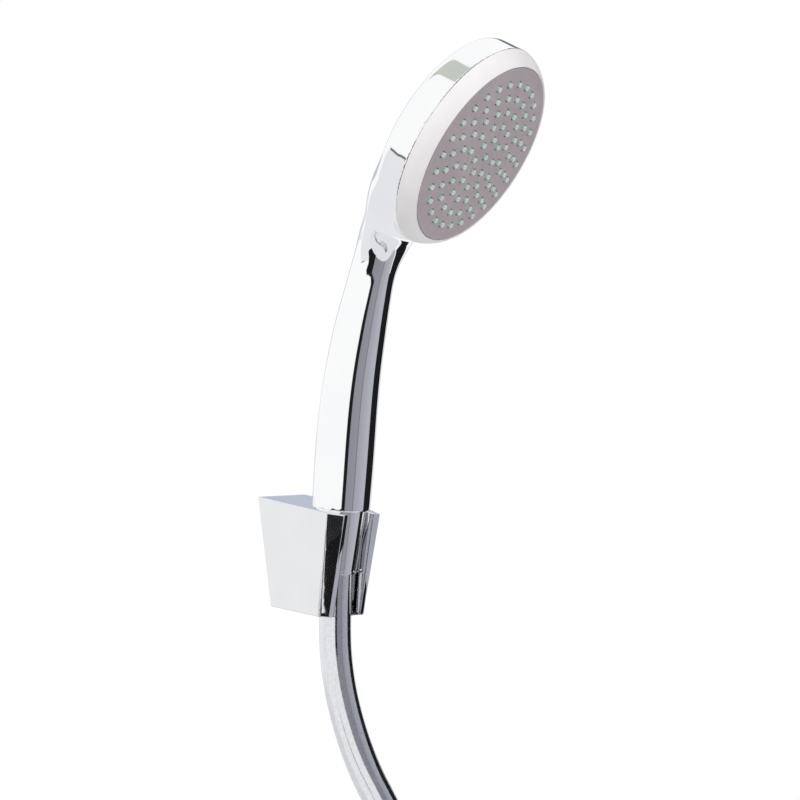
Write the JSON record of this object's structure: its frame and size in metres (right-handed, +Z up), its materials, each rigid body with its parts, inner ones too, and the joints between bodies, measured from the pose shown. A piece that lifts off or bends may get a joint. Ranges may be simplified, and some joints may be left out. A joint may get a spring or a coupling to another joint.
{
  "type": "hand shower with wall bracket and hose",
  "caption": "Chromed hand shower with a round spray head on a bowed handle, resting by its conical nut in a slotted wall bracket, with a smooth silver hose.",
  "frame": {"origin": "centre of the bracket's back face, on the wall, midway between the wall plate's two screw holes", "axes": "+Z up, +Y into the wall, the room towards -Y, +X to the right for someone facing the wall"},
  "size_m": [0.0991, 0.2283, 0.5296],
  "materials": {
    "chrome": "mirror polish",
    "white_plastic": "satin gloss",
    "grey_plastic": "fine matte",
    "mint_silicone": "matte",
    "inner_plastic": "as moulded",
    "steel": "plain",
    "black_rubber": "matte",
    "brass": "turned",
    "silver_hose": "silver under a clear smooth skin",
    "tie_plastic": "matte"
  },
  "bodies": {
    "bracket": {"bracket_body": "chrome", "wall_plate": "steel", "grub_screw": "steel"},
    "hose_line": {"top_insert": "brass", "hose": "silver_hose", "hose_coil": "silver_hose", "coil_tie": "tie_plastic", "end_sleeve": "chrome", "end_insert": "brass"},
    "handset": {"body_shell": "chrome", "bezel_ring": "white_plastic", "spray_face": "grey_plastic", "nozzle_mat": "mint_silicone", "jet_plate": "inner_plastic", "plate_screws": "steel", "head_seal": "black_rubber", "waterway_tube": "inner_plastic", "tube_seal": "black_rubber", "inlet_connector": "inner_plastic", "flow_limiter": "inner_plastic", "limiter_seal": "black_rubber", "sieve_washer": "black_rubber", "cone_nut": "chrome"},
    "union": {"wall_nut": "chrome", "wall_washer": "black_rubber"}
  },
  "joints": [
    {"name": "lift_out", "type": "slide", "parent": "bracket", "child": "hose_line", "axis": [0, -0.2504, 0.9681], "range_m": [0, 0.036]},
    {"name": "handset_swivel", "type": "hinge", "parent": "hose_line", "child": "handset", "pos_m": [0, -0.0349, 0], "axis": [0, -0.2504, 0.9681], "range_deg": [-105, 75]},
    {"name": "union_turn", "type": "hinge", "parent": "hose_line", "child": "union", "pos_m": [0.044, -0.0685, -0.295], "axis": [0, 0, -1], "continuous": true}
  ]
}
